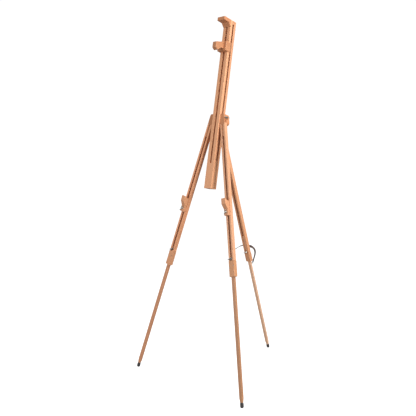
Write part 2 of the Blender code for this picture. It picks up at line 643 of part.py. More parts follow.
# ---- Canvas rests ----
for side in ("left", "right"):
    frame = LEG_FRAMES[side] @ Matrix.Translation((0, 0, -REST_START))
    name = "canvas_rest_" + side
    face = -LEG_DEPTH / 2 - GAP
    outline = [(face - REST_REACH, 0), (face - REST_REACH, -REST_LIP_HEIGHT),
               (face - REST_SHANK, -REST_NOSE), (face - REST_SHANK, -REST_HEIGHT), (face, -REST_HEIGHT), (face, -REST_SEAT_DROP),
               (face - REST_SEAT_FRONT, -REST_SEAT_DROP)]
    rest = flat_shape(name, [outline], REST_WIDTH, wood(name), frame, STAND_ALONG)
    soften(rest, 0.0012, 2, 15)
    line = frame @ Matrix.Translation((0, 0, -REST_BOLT_DROP)) @ ALONG_FRONT
    cut(rest, pin(name + "_hole", BOLT_RADIUS + HOLE_PLAY, -0.1, 0.1, None, line))
    seat = LEG_DEPTH / 2 + GAP
    nut_seat = seat + REST_SHANK + GAP
    make_bolt("rest_bolt_" + side, seat + nut_seat + 0.0150,
              line @ Matrix.Translation((0, 0, -seat)), REST_HEAD_RADIUS)
    make_wing_nut("rest_wing_nut_" + side, line @ Matrix.Translation((0, 0, nut_seat))
                  @ Matrix.Rotation(math.radians(70), 4, "Z"))


# ---- Strap on the back of the rear leg ----
def smooth_path(points, pieces):
    """Points on a smooth curve through the given ones."""
    path = []
    padded = [points[0] * 2 - points[1]] + points + [points[-1] * 2 - points[-2]]
    for a, b, c, d in zip(padded, padded[1:], padded[2:], padded[3:]):
        for step in range(pieces):
            t = step / pieces
            path.append(0.5 * (2 * b + (c - a) * t + (2 * a - 5 * b + 4 * c - d) * t * t
                               + (3 * b - a - 3 * c + d) * t ** 3))
    return path + [points[-1]]


def make_ribbon(name, points, middle, width, thickness, material, frame):
    """A strap that lies along the leg at its middle point and turns its edge to the front at both ends."""
    path = smooth_path([Vector(point) for point in points], 4)
    lengths = [0.0]
    for first, second in zip(path, path[1:]):
        lengths.append(lengths[-1] + (second - first).length)

    def station(index):
        here = path[index]
        along = (path[min(index + 1, len(path) - 1)] - path[max(index - 1, 0)]).normalized()
        far = lengths[index] - lengths[4 * middle]
        turn = min(max((abs(far) - LEG_WIDTH / 2 + 0.0025) / STRAP_TWIST, 0), 1) * math.pi / 2
        across = Vector((0, math.copysign(math.sin(turn), far), math.cos(turn)))
        across = (across - along * across.dot(along)).normalized()
        return Matrix((along.cross(across), across, along)).transposed().to_4x4(), here

    def build(shape):
        turn, here = station(0)
        place = Matrix.Translation(here) @ turn @ Matrix.Diagonal((thickness, width, 1, 1))
        bmesh.ops.create_grid(shape, x_segments=1, y_segments=1, size=0.5, matrix=place)
        last_turn, last = turn, here
        end = shape.faces[:]
        for index in range(1, len(path)):
            turn, here = station(index)
            grown = bmesh.ops.extrude_face_region(shape, geom=end)["geom"]
            if index > 1:
                bmesh.ops.delete(shape, geom=end, context="FACES_ONLY")
            corners = [piece for piece in grown if isinstance(piece, bmesh.types.BMVert)]
            end = [piece for piece in grown if isinstance(piece, bmesh.types.BMFace)]
            move = Matrix.Translation(here) @ turn @ last_turn.inverted() @ Matrix.Translation(-last)
            bmesh.ops.transform(shape, matrix=move, verts=corners)
            last_turn, last = turn, here

    item = add_object(name, mesh_from(build, name), material, frame)
    smooth(item)
    return item


strap_middle = GAP + STRAP_THICKNESS / 2
strap_line = [(-0.1266, 0.0120, -0.0474), (-0.1083, 0.0120, -0.0373), (-0.0918, 0.0118, -0.0276),
              (-0.0759, 0.0115, -0.0189), (-0.0603, 0.0105, -0.0124), (-0.0451, 0.0080, -0.0070),
              (-0.0300, 0.0052, -0.0030), (-0.0150, 0.0025, -0.0008), (0, strap_middle, 0),
              (0.0110, 0.0022, -0.0012), (0.0207, 0.0060, -0.0045), (0.0309, 0.0090, -0.0111),
              (0.0401, 0.0115, -0.0203), (0.0446, 0.0120, -0.0349), (0.0430, 0.0120, -0.0523),
              (0.0358, 0.0120, -0.0721), (0.0254, 0.0120, -0.0917), (0.0170, 0.0120, -0.1070),
              (0.0090, 0.0120, -0.1220)]
strap_points = [(across, LEG_DEPTH / 2 + behind, up) for across, behind, up in strap_line]
strap_frame = LEG_FRAMES["rear"] @ Matrix.Translation((0, 0, -STRAP_HEIGHT))
make_ribbon("strap", strap_points, 8, STRAP_WIDTH, STRAP_THICKNESS,
            make_material("strap_leather", (0.075, 0.045, 0.035), 0.6), strap_frame)

buckle_half = (BUCKLE_WIDTH - 2 * BUCKLE_WIRE) / 2
buckle_long = BUCKLE_LENGTH / 2 - BUCKLE_WIRE
ring = bpy.data.curves.new("strap_buckle_ring", "CURVE")
ring.dimensions = "3D"
ring.bevel_depth = BUCKLE_WIRE
ring.bevel_resolution = 2
ring.render_resolution_u = 0
wire = ring.splines.new("POLY")
corner = 0.004
outline = []
for turn, (sign_x, sign_y) in enumerate(((1, 1), (-1, 1), (-1, -1), (1, -1))):
    middle = (sign_x * (buckle_half - corner), sign_y * (buckle_long - corner))
    outline += arc(middle, corner, 90 * turn, 90 * turn + 90, 4)
wire.points.add(len(outline) - 1)
for point, (x, y) in zip(wire.points, outline):
    point.co = (x, y, 0, 1)
wire.use_cyclic_u = True
holder = bpy.data.objects.new("strap_buckle_ring", ring)
bpy.context.scene.collection.objects.link(holder)
bpy.context.view_layer.update()
ring_mesh = bpy.data.meshes.new_from_object(holder.evaluated_get(bpy.context.evaluated_depsgraph_get()))
bpy.data.objects.remove(holder, do_unlink=True)
strap_end, strap_before = Vector(strap_points[-1]), Vector(strap_points[-2])
down = (strap_end - strap_before).normalized()
fore = Vector((0, 1, 0))
out = down.cross(fore).normalized()
fore = out.cross(down)
seat = strap_end + down * (BUCKLE_WIRE + GAP + buckle_long)
buckle_turn = Matrix((fore, down, fore.cross(down))).transposed().to_4x4()
buckle_frame = strap_frame @ Matrix.Translation(seat) @ buckle_turn
buckle = add_object("strap_buckle", ring_mesh, steel("strap_buckle"), buckle_frame)
smooth(buckle, 60)
prong_line = buckle_frame @ Matrix.Rotation(math.radians(-90), 4, "X")
join(buckle, pin("buckle_prong", BUCKLE_WIRE * 0.75, -buckle_long, buckle_long, None, prong_line, 10))
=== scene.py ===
import math

import bmesh
import bpy
from mathutils import Matrix, Vector


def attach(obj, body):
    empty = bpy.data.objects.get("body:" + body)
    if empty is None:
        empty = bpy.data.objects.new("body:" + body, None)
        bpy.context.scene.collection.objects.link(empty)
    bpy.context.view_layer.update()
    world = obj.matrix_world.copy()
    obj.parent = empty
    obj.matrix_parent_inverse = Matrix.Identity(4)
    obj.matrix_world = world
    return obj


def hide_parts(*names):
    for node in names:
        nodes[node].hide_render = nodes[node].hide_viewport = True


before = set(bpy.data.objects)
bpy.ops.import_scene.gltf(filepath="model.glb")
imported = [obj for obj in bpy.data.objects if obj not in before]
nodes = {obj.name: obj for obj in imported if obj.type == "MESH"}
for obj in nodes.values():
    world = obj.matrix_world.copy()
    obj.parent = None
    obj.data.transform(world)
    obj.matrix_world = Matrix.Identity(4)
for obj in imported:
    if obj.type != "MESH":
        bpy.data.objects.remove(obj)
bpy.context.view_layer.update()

scene = bpy.context.scene
print("frame loaded:", len(nodes), "pieces")

# The easel's own directions: one frame on the head, and one on each leg with its origin at the leg's hinge
easel = {"headPlace": (0, -0.139719, 1.540944), "lean": 10.44, "splay": 13.49, "rearAngle": 19.13,
         "pivotOffset": 0.0468, "pivotHeight": 0.024, "hingePlace": (0, -0.095983, 1.502380),
         "legDepth": 0.024, "boltHeight": 0.053, "boltBack": 0.0054}


def turned(degrees, axis):
    return Matrix.Rotation(math.radians(degrees), 4, axis)


def shifted(x, y, z):
    return Matrix.Translation((x, y, z))


headFrame = Matrix.Translation(easel["headPlace"]) @ turned(-easel["lean"], "X")
legFrames = {"rear": Matrix.Translation(easel["hingePlace"]) @ turned(easel["rearAngle"], "X")}
for side, sign in (("left", -1), ("right", 1)):
    legFrames[side] = (headFrame @ shifted(sign * easel["pivotOffset"], 0, easel["pivotHeight"])
                       @ turned(-sign * easel["splay"], "Y"))
alongX, alongBack, alongFront = turned(90, "Y"), turned(-90, "X"), turned(90, "X")


# Shader groups: each is built once and placed in every material that needs it
def newGroup(name, inputs, outputs):
    group = bpy.data.node_groups.new(name, "ShaderNodeTree")
    for label, kind, value in inputs:
        socket = group.interface.new_socket(label, in_out="INPUT", socket_type="NodeSocket" + kind)
        if value is not None:
            socket.default_value = value
    for label, kind in outputs:
        group.interface.new_socket(label, in_out="OUTPUT", socket_type="NodeSocket" + kind)
    return group, group.nodes.new("NodeGroupInput").outputs, group.nodes.new("NodeGroupOutput").inputs


def putIn(tree, socket, value):  # a number, a colour or another node's output
    if isinstance(value, bpy.types.NodeSocket):
        tree.links.new(value, socket)
    else:
        socket.default_value = value


def addNode(tree, kind, settings=None, **values):
    node = tree.nodes.new("ShaderNode" + kind)
    for key, value in (settings or {}).items():
        setattr(node, key, value)
    for key, value in values.items():
        putIn(tree, node.inputs[key], value)
    return node


def maths(tree, operation, *values):
    node = tree.nodes.new("ShaderNodeMath")
    node.operation = operation
    for socket, value in zip(node.inputs, values):
        putIn(tree, socket, value)
    return node.outputs[0]


def between(tree, value, low, high, start=0.0, end=1.0):  # value from low..high onto start..end
    node = addNode(tree, "MapRange", {"interpolation_type": "SMOOTHSTEP"}, Value=value)
    for socket, number in zip(list(node.inputs)[1:5], (low, high, start, end)):
        socket.default_value = number
    return node.outputs["Result"]


def stretched(tree, place, scale):
    return addNode(tree, "Mapping", Vector=place, Scale=scale).outputs[0]


def mixed(tree, amount, first, second, blend="MIX"):
    node = addNode(tree, "Mix", {"data_type": "RGBA", "blend_type": blend})
    for index, value in ((0, amount), (6, first), (7, second)):
        putIn(tree, node.inputs[index], value)
    return node.outputs[2]


def buildBeechGrain():
    group, given, out = newGroup("beechGrain", [
        ("Place", "Vector", None), ("Light", "Color", (0.8, 0.5, 0.3, 1)),
        ("Dark", "Color", (0.5, 0.25, 0.1, 1)), ("Rings", "Float", 1.0), ("Flecks", "Float", 1.0)],
        [("Color", "Color"), ("Roughness", "Float"), ("Height", "Float")])
    place = given["Place"]
    warp = addNode(group, "TexNoise", Vector=stretched(group, place, (14, 14, 1.6)), Scale=1.0, Detail=2.0)
    bent = addNode(group, "VectorMath", {"operation": "MULTIPLY_ADD"})
    putIn(group, bent.inputs[0], warp.outputs["Color"])
    bent.inputs[1].default_value = (0.010, 0.010, 0)
    putIn(group, bent.inputs[2], place)
    rings = addNode(group, "TexWave", {"wave_type": "RINGS", "rings_direction": "Z", "wave_profile": "SAW"},
                    Vector=stretched(group, bent.outputs[0], (1, 1, 0.02)), Scale=75.0, Distortion=1.2,
                    Detail=3.0)
    ringLines = between(group, rings.outputs["Fac"], 0.35, 1.0)
    broad = addNode(group, "TexNoise", Vector=stretched(group, place, (34, 34, 2.2)), Scale=1.0, Detail=3.0)
    fibres = addNode(group, "TexNoise", Vector=stretched(group, place, (900, 900, 26)), Scale=1.0,
                     Detail=4.0, Roughness=0.65)
    fleckCells = addNode(group, "TexNoise", Vector=stretched(group, place, (1500, 1500, 230)), Scale=1.0,
                         Detail=1.0)
    flecks = maths(group, "MULTIPLY", between(group, fleckCells.outputs["Fac"], 0.60, 0.72), given["Flecks"])
    tone = maths(group, "MULTIPLY", ringLines, given["Rings"])
    tone = maths(group, "MULTIPLY_ADD", tone, 0.34, maths(group, "MULTIPLY", broad.outputs["Fac"], 0.50))
    tone = maths(group, "MULTIPLY_ADD", fibres.outputs["Fac"], 0.42, maths(group, "SUBTRACT", tone, 0.12))
    tone = maths(group, "MAXIMUM", maths(group, "MINIMUM", tone, 1.0), 0.0)
    base = mixed(group, tone, given["Light"], given["Dark"])
    darker = mixed(group, 1.0, given["Dark"], (0.52, 0.46, 0.40, 1), "MULTIPLY")
    putIn(group, out["Color"], mixed(group, maths(group, "MULTIPLY", flecks, 0.55), base, darker))
    rough = maths(group, "MULTIPLY_ADD", fibres.outputs["Fac"], 0.20, 0.34)
    putIn(group, out["Roughness"], maths(group, "MULTIPLY_ADD", flecks, 0.12, rough))
    height = maths(group, "SUBTRACT", maths(group, "MULTIPLY", fibres.outputs["Fac"], 0.6),
                   maths(group, "MULTIPLY", flecks, 0.9))
    putIn(group, out["Height"], maths(group, "MULTIPLY_ADD", ringLines, 0.25, height))
    return group


def buildEdgeWear():  # 1 on outer edges, broken up by noise
    group, given, out = newGroup("edgeWear", [
        ("Place", "Vector", None), ("Width", "Float", 0.0015), ("Patches", "Float", 60.0)],
        [("Mask", "Float")])
    soft = addNode(group, "Bevel", {"samples": 4}, Radius=given["Width"])
    sharp = addNode(group, "NewGeometry")
    meet = addNode(group, "VectorMath", {"operation": "DOT_PRODUCT"})
    putIn(group, meet.inputs[0], soft.outputs[0])
    putIn(group, meet.inputs[1], sharp.outputs["Normal"])
    edge = between(group, meet.outputs["Value"], 0.995, 0.90)
    noise = addNode(group, "TexNoise", Vector=given["Place"], Scale=given["Patches"], Detail=3.0)
    patchy = between(group, noise.outputs["Fac"], 0.42, 0.62)
    putIn(group, out["Mask"], maths(group, "MULTIPLY", edge, patchy))
    return group


def buildCorners():  # 1 deep in corners and slots, where oil and dust gather and shade falls: dust and painted shade
    group, given, out = newGroup("cornerDustAndShade", [
        ("Place", "Vector", None), ("Reach", "Float", 0.02)], [("Mask", "Float")])
    near = addNode(group, "AmbientOcclusion", {"samples": 6}, Distance=given["Reach"])
    noise = addNode(group, "TexNoise", Vector=given["Place"], Scale=90.0, Detail=3.0)
    deep = between(group, near.outputs["AO"], 0.80, 0.25)
    patchy = between(group, noise.outputs["Fac"], 0.2, 0.7, 0.6, 1.0)
    putIn(group, out["Mask"], maths(group, "MULTIPLY", deep, patchy))
    return group


def buildScuffs():  # fine scratches and blotches for metal and rubber
    group, given, out = newGroup("fineScuffs", [
        ("Place", "Vector", None), ("Scratches", "Float", 1.0)], [("Blotch", "Float"), ("Height", "Float")])
    lines = addNode(group, "TexNoise", Vector=stretched(group, given["Place"], (240, 5200, 700)), Scale=1.0,
                    Detail=2.0)
    blotch = addNode(group, "TexNoise", Vector=given["Place"], Scale=230.0, Detail=4.0, Roughness=0.6)
    putIn(group, out["Blotch"], blotch.outputs["Fac"])
    uneven = maths(group, "MULTIPLY_ADD", lines.outputs["Fac"], 0.6, blotch.outputs["Fac"])
    putIn(group, out["Height"], maths(group, "MULTIPLY", uneven, given["Scratches"]))
    return group


def buildLeatherGrain():
    group, given, out = newGroup("leatherGrain", [
        ("Place", "Vector", None), ("Cell", "Float", 900.0)], [("Creases", "Float"), ("Tone", "Float")])
    cells = addNode(group, "TexVoronoi", {"feature": "DISTANCE_TO_EDGE"}, Vector=given["Place"],
                    Scale=given["Cell"])
    tone = addNode(group, "TexNoise", Vector=given["Place"], Scale=70.0, Detail=4.0)
    putIn(group, out["Creases"], between(group, cells.outputs["Distance"], 0.0, 0.25))
    putIn(group, out["Tone"], tone.outputs["Fac"])
    return group


beechGrain, edgeWear, cornerDustAndShade = buildBeechGrain(), buildEdgeWear(), buildCorners()
fineScuffs, leatherGrain = buildScuffs(), buildLeatherGrain()


def startMaterial(name, place):
    material = bpy.data.materials.new(name)
    material.use_nodes = True
    tree = material.node_tree
    shader = tree.nodes["Principled BSDF"]
    coords = addNode(tree, "TexCoord").outputs["Object"]
    turn = place.to_euler()
    mapping = addNode(tree, "Mapping", {"vector_type": "TEXTURE"}, Vector=coords, Location=place.translation,
                      Rotation=(turn.x, turn.y, turn.z))
    return material, tree, shader, mapping.outputs[0]


def useGroup(tree, group, **values):
    node = tree.nodes.new("ShaderNodeGroup")
    node.node_tree = group
    for key, value in values.items():
        putIn(tree, node.inputs[key], value)
    return node.outputs


beech = {"light": (0.83, 0.42, 0.222), "dark": (0.53, 0.212, 0.092), "wornEdge": (0.87, 0.52, 0.32),
         "grimeAndShade": (0.62, 0.24, 0.11), "coat": 0.10, "bump": 0.25}


# heart: how far off the log's middle the piece was cut
# tone: painted light and shade, this piece's beech made lighter or darker for how light falls on it
def makeBeech(name, place, heart, tintAndShade=1.0, rings=1.0, tone=(1, 1, 1)):
    # tintAndShade: the piece's own tint, and painted shade for the slide block
    material, tree, shader, local = startMaterial(name, place @ shifted(-heart[0], -heart[1], 0))
    light, dark = (tuple(tintAndShade * c * t for c, t in zip(beech[key], tone)) + (1,) for key in ("light", "dark"))
    grain = useGroup(tree, beechGrain, Place=local, Light=light, Dark=dark, Rings=rings, Flecks=0.8)
    worn = useGroup(tree, edgeWear, Place=local, Width=0.0016, Patches=55.0)["Mask"]
    dustAndShade = useGroup(tree, cornerDustAndShade, Place=local, Reach=0.018)["Mask"]
    paler = mixed(tree, maths(tree, "MULTIPLY", worn, 0.45), grain["Color"], beech["wornEdge"] + (1,))
    # corners and slots darkened from the occlusion mask: dust, and painted shade
    coloured = mixed(tree, maths(tree, "MULTIPLY", dustAndShade, 0.25), paler, beech["grimeAndShade"] + (1,))
    putIn(tree, shader.inputs["Base Color"], coloured)
    putIn(tree, shader.inputs["Roughness"], maths(tree, "MULTIPLY_ADD", worn, 0.08, grain["Roughness"]))
    shader.inputs["Coat Weight"].default_value = beech["coat"]
    shader.inputs["Coat Roughness"].default_value = 0.35
    bump = addNode(tree, "Bump", Strength=beech["bump"], Distance=0.0004, Height=grain["Height"])
    putIn(tree, shader.inputs["Normal"], bump.outputs[0])
    return material


metal = {"zinc": (0.36, 0.36, 0.34), "tarnish": (0.17, 0.155, 0.13), "rubber": (0.028, 0.025, 0.027),
         "rubberDust": (0.16, 0.14, 0.12)}


def makeZinc(name, place, paintedLightGain=1.0):
    material, tree, shader, local = startMaterial(name, place)
    scuffs = useGroup(tree, fineScuffs, Place=local, Scratches=1.0)
    dustAndShade = useGroup(tree, cornerDustAndShade, Place=local, Reach=0.006)["Mask"]
    worn = useGroup(tree, edgeWear, Place=local, Width=0.0006, Patches=260.0)["Mask"]
    # paintedLightGain scales the zinc: painted highlight above 1, painted shade below 1
    zinc, tarnish = (tuple(paintedLightGain * c for c in metal[key]) + (1,) for key in ("zinc", "tarnish"))
    tone = mixed(tree, between(tree, scuffs["Blotch"], 0.35, 0.75), zinc, tarnish)
    # hollows darkened from the occlusion mask: dust, and painted shade
    tone = mixed(tree, maths(tree, "MULTIPLY", dustAndShade, 0.5), tone, (0.09, 0.075, 0.06, 1))
    tone = mixed(tree, maths(tree, "MULTIPLY", worn, 0.5), tone, (0.60, 0.59, 0.56, 1))
    putIn(tree, shader.inputs["Base Color"], tone)
    shader.inputs["Metallic"].default_value = 1.0
    putIn(tree, shader.inputs["Roughness"], maths(tree, "MULTIPLY_ADD", scuffs["Blotch"], 0.30, 0.28))
    bump = addNode(tree, "Bump", Strength=0.15, Distance=0.0002, Height=scuffs["Height"])
    putIn(tree, shader.inputs["Normal"], bump.outputs[0])
    return material


def makeRubber(name, place):
    material, tree, shader, local = startMaterial(name, place)
    scuffs = useGroup(tree, fineScuffs, Place=local, Scratches=0.6)
    worn = useGroup(tree, edgeWear, Place=local, Width=0.0012, Patches=150.0)["Mask"]
    dust = between(tree, scuffs["Blotch"], 0.45, 0.8, 0.0, 0.5)
    dust = maths(tree, "MAXIMUM", dust, maths(tree, "MULTIPLY", worn, 0.7))
    tone = mixed(tree, dust, metal["rubber"] + (1,), metal["rubberDust"] + (1,))
    putIn(tree, shader.inputs["Base Color"], tone)
    putIn(tree, shader.inputs["Roughness"], maths(tree, "MULTIPLY_ADD", scuffs["Blotch"], 0.25, 0.48))
    bump = addNode(tree, "Bump", Strength=0.3, Distance=0.0003, Height=scuffs["Height"])
    putIn(tree, shader.inputs["Normal"], bump.outputs[0])
    return material


leather = {"face": (0.060, 0.032, 0.024), "worn": (0.20, 0.105, 0.065), "thread": (0.36, 0.27, 0.17)}


def makeLeather(name, place):  # U runs along the strap in metres, V across it from 0 to 1
    material, tree, shader, local = startMaterial(name, place)
    uv = addNode(tree, "SeparateXYZ", Vector=addNode(tree, "UVMap").outputs[0]).outputs
    grain = useGroup(tree, leatherGrain, Place=local, Cell=850.0)
    worn = useGroup(tree, edgeWear, Place=local, Width=0.0010, Patches=190.0)["Mask"]
    middle = maths(tree, "ABSOLUTE", maths(tree, "SUBTRACT", uv["Y"], 0.5))
    onLine = between(tree, maths(tree, "ABSOLUTE", maths(tree, "SUBTRACT", middle, 0.37)), 0.030, 0.016)
    step = maths(tree, "FRACT", maths(tree, "MULTIPLY", uv["X"], 310.0))
    fromStitch = maths(tree, "ABSOLUTE", maths(tree, "SUBTRACT", step, 0.5))
    stitch = maths(tree, "MULTIPLY", onLine, between(tree, fromStitch, 0.34, 0.28))
    wear = maths(tree, "MAXIMUM", worn, between(tree, grain["Tone"], 0.50, 0.80, 0.0, 0.45))
    tone = mixed(tree, wear, leather["face"] + (1,), leather["worn"] + (1,))
    putIn(tree, shader.inputs["Base Color"], mixed(tree, stitch, tone, leather["thread"] + (1,)))
    putIn(tree, shader.inputs["Roughness"], maths(tree, "MULTIPLY_ADD", grain["Tone"], 0.3, 0.38))
    height = maths(tree, "MULTIPLY_ADD", stitch, 0.8, maths(tree, "MULTIPLY", grain["Creases"], 0.5))
    bump = addNode(tree, "Bump", Strength=0.6, Distance=0.0004, Height=height)
    putIn(tree, shader.inputs["Normal"], bump.outputs[0])
    return material


print("materials ready")


# Pieces: mesh helpers
def toPiece(name, shape, place, material, body, replaced=(), sharpAngle=40):
    bmesh.ops.transform(shape, matrix=place, verts=shape.verts)
    bmesh.ops.recalc_face_normals(shape, faces=shape.faces)
    mesh = bpy.data.meshes.new(name)
    for face in shape.faces:
        face.smooth = True
    shape.to_mesh(mesh)
    shape.free()
    mesh.set_sharp_from_angle(angle=math.radians(sharpAngle))
    mesh.materials.append(material)
    piece = bpy.data.objects.new(name, mesh)
    scene.collection.objects.link(piece)
    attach(piece, body)
    if replaced:
        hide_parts(*replaced)
    return piece


def spun(profile, steps=40):  # a profile of (radius, height) spun about Z
    shape = bmesh.new()
    points = [shape.verts.new((max(radius, 0), 0, height)) for radius, height in profile]
    edges = [shape.edges.new(pair) for pair in zip(points, points[1:])]
    bmesh.ops.spin(shape, geom=points + edges, cent=(0, 0, 0), axis=(0, 0, 1), angle=math.tau, steps=steps,
                   use_merge=True)
    bmesh.ops.remove_doubles(shape, verts=shape.verts, dist=0.00001)
    return shape


def weighted(piece):
    piece.modifiers.new("evenShading", "WEIGHTED_NORMAL").keep_sharp = True
    return piece


# Wooden pieces keep their shapes: each is a merged copy, shaded round over its soft edges
def refineWood(node, frameOf, body, heart, tintAndShade=1.0, rings=1.0, sharpAngle=55):
    # tone: painted light and shade for this piece
    tone = paintedLightTones.get(node, (1, 1, 1))
    source = nodes[node]
    shape = bmesh.new()
    shape.from_mesh(source.data)
    bmesh.ops.remove_doubles(shape, verts=shape.verts, dist=0.00002)
    bmesh.ops.dissolve_limit(shape, angle_limit=math.radians(0.5), verts=shape.verts, edges=shape.edges)
    material = makeBeech(node.replace("_", " ") + " beech", frameOf, heart, tintAndShade, rings, tone)
    placed = source.matrix_world.copy()
    return weighted(toPiece(node + "_wood", shape, placed, material, body, (node,), sharpAngle))


paintedLightTones = {  # painted light and shade: red, green and blue of single pieces against the usual beech, each piece made lighter or darker to stand in for how light falls on it
    "left_rod": (0.82, 0.79, 0.80), "right_rod": (0.68, 0.68, 0.65), "rear_rod": (1.12, 1.42, 1.80),
    "head_shoulder_left": (0.95, 0.84, 0.74), "head_shoulder_right": (0.95, 0.84, 0.74),
    "head_back_block": (0.95, 0.84, 0.74), "mast_top_hook": (1.04, 0.93, 0.85),
    "clamp_block": (0.94, 0.88, 0.81), "mast_front_board": (1.09, 1.13, 1.16),
    "mast_bottom_block": (1.09, 1.13, 1.16),
    "left_leg_left_rail": (1.12, 1.08, 1.08), "left_leg_right_rail": (1.12, 1.08, 1.08),
    "right_leg_left_rail": (1.02, 1.10, 1.20), "right_leg_right_rail": (1.00, 1.08, 1.18),
    "right_leg_collar": (0.88, 0.88, 0.81)}
wood = {  # node: frame, body, place of the log's heart, tint and painted shade, strength of the growth rings
    "mast_front_board": ("head", "mast", (0.061, 0.090), 1.00, 1.0),
    "mast_rear_board": ("head", "mast", (-0.085, -0.060), 0.96, 1.1),
    "mast_top_block": ("head", "mast", (0.040, 0.035), 0.88, 1.0),
    "mast_bottom_block": ("head", "mast", (-0.052, 0.041), 0.94, 1.0),
    "mast_top_hook": ("hook", "mast", (0.044, -0.066), 0.80, 1.0),
    # the slide block's dark tint is painted shade: it darkens the mast's slot where the block shows through
    "mast_slide_block": ("head", "mast_slider", (0.031, -0.028), 0.40, 1.0),
    "clamp_block": ("hook", "clamp", (-0.055, 0.048), 0.80, 1.0),
    "head_shoulder_left": ("head", "head", (-0.012, 0.058), 0.80, 1.0),
    "head_shoulder_right": ("head", "head", (0.083, -0.050), 0.80, 1.0),
    "head_back_block": ("across", "head", (0.050, 0.066), 0.95, 1.0),
}
for side, hearts in (("left", (0.070, -0.048)), ("right", (-0.064, 0.052)), ("rear", (0.046, 0.075))):
    legBody, rodBody = side + "_leg", side + "_rod"
    wood[side + "_leg_left_rail"] = (side, legBody, (hearts[0], hearts[1]), 1.0, 1.0)
    wood[side + "_leg_right_rail"] = (side, legBody, (-hearts[1], hearts[0]), 1.03, 1.0)
    wood[side + "_leg_collar"] = (side, legBody, (-hearts[0], hearts[1] * 0.7), 0.97, 1.0)
    wood[side + "_rod"] = (side, rodBody, (hearts[1], -hearts[0]), 0.98, 1.0)
    if side != "rear":
        wood[side + "_leg_tenon"] = (side, legBody, (hearts[0] * 0.6, hearts[1]), 0.88, 1.0)
        wood["canvas_rest_" + side] = (side, side + "_rest", (hearts[1] * 0.8, hearts[0]), 0.96, 1.0)
grainFrames = {"head": headFrame, "hook": headFrame @ turned(90, "X"), "across": headFrame @ alongX,
               **legFrames}
for node, (frameName, body, heart, tintAndShade, rings) in wood.items():
    refineWood(node, grainFrames[frameName], body, heart, tintAndShade, rings)
print("wood done:", len(wood))


# Bolts, washers, rivets and wing nuts
bolt = {"radius": 0.003, "headHeight": 0.003, "pitch": 0.0010, "threadDepth": 0.00028}


def toSteel(node, body, place, shape):
    material = makeZinc(node.replace("_", " ") + " zinc", place)
    return toPiece(node + "_steel", shape, place, material, body, (node,), 32)


def makeBolt(node, body, place, length, headRadius, threadFrom):
    radius, high = bolt["radius"], bolt["headHeight"]
    profile = [(headRadius * math.sin(math.radians(a)), -high * (0.2 + 0.8 * math.cos(math.radians(a))))
               for a in (0, 15, 30, 45, 60, 75, 90)]
    profile += [(headRadius, -0.0001), (headRadius - 0.0003, 0), (radius, 0), (radius, threadFrom)]
    height = threadFrom
    while height < length - 2 * bolt["pitch"]:
        profile += [(radius - bolt["threadDepth"], height + bolt["pitch"] * 0.5),
                    (radius, height + bolt["pitch"])]
        height += bolt["pitch"]
    profile += [(radius - 0.0002, length - 0.0008), (radius - 0.0008, length), (0, length)]
    return toSteel(node, body, place, spun(profile, 32))


def makeWasher(node, body, place, radius=0.0085, inner=0.0033, thick=0.0012):
    soft = 0.0002
    profile = [(inner, soft), (inner + soft, 0), (radius - soft, 0), (radius, soft), (radius, thick - soft),
               (radius - soft, thick), (inner + soft, thick), (inner, thick - soft), (inner, soft)]
    return toSteel(node, body, place, spun(profile, 48))


wingNut = {"hubRadius": 0.0068, "topRadius": 0.0050, "bore": 0.0034, "height": 0.0095,
           "wingThickness": 0.0026, "grain": 0.00042}


def makeStud(node, body, place, start, end, threadFrom):
    rings, height = [(0, start), (0.003, start + 0.0003), (0.003, threadFrom)], threadFrom
    while height < end - 0.002:
        rings += [(0.00272, height + 0.0005), (0.003, height + 0.001)]
        height += bolt["pitch"]
    return toSteel(node, body, place, spun(rings + [(0.0022, end), (0, end)], 32))


# each wing nut's zinc is brightened for a painted highlight, or darkened for painted shade, nut by nut
def makeWingNut(node, body, place, size=1.0, paintedLightGain=1.3):
    w = wingNut
    hub = [(w["bore"], 0), (w["hubRadius"], 0), (w["hubRadius"] + 0.0002, 0.0012),
           (w["hubRadius"] - 0.0007, 0.0030), (w["topRadius"] + 0.0004, w["height"] - 0.0010),
           (w["topRadius"] - 0.0006, w["height"]),
           (w["bore"], w["height"]), (w["bore"], 0)]
    shape = spun(hub, 32)
    for turn in (0, 180):  # each wing: a rounded plate that leans out and grows thicker at its root
        made = bmesh.ops.create_uvsphere(shape, u_segments=24, v_segments=14, radius=1)["verts"]
        lean = (shifted(0.0112, 0, 0.0104) @ turned(38, "Y")
                @ Matrix.Diagonal((0.0052, w["wingThickness"] / 2, 0.0060, 1)))
        bmesh.ops.transform(shape, matrix=turned(turn, "Z") @ lean, verts=made)
        root = bmesh.ops.create_uvsphere(shape, u_segments=20, v_segments=12, radius=1)["verts"]
        lean = shifted(0.0064, 0, 0.0064) @ turned(20, "Y") @ Matrix.Diagonal((0.0032, 0.0021, 0.0036, 1))
        bmesh.ops.transform(shape, matrix=turned(turn, "Z") @ lean, verts=root)
    bmesh.ops.scale(shape, vec=(size, size, size), verts=shape.verts)
    material = makeZinc(node.replace("_", " ") + " zinc", place, paintedLightGain)
    piece = toPiece(node + "_steel", shape, place, material, body, (node,), 180)
    cast = piece.modifiers.new("cast", "REMESH")
    cast.mode = "VOXEL"
    cast.voxel_size = w["grain"]
    cast.use_smooth_shade = True
    even = piece.modifiers.new("even", "SMOOTH")
    even.factor, even.iterations = 0.5, 3
    return piece


def makeRivet(node, body, place, reach, seat):
    profile = [(0, reach), (0.0012, reach - 0.00012), (0.0022, reach - 0.0005), (0.0028, reach - 0.0011),
               (0.0028, seat + 0.0003), (0.0016, seat + 0.0003), (0.0016, -seat - 0.0003),
               (0.0028, -seat - 0.0003), (0.0028, 0.0011 - reach), (0.0022, 0.0005 - reach),
               (0.0012, 0.00012 - reach), (0, -reach)]
    return toSteel(node, body, place, spun(profile, 28))


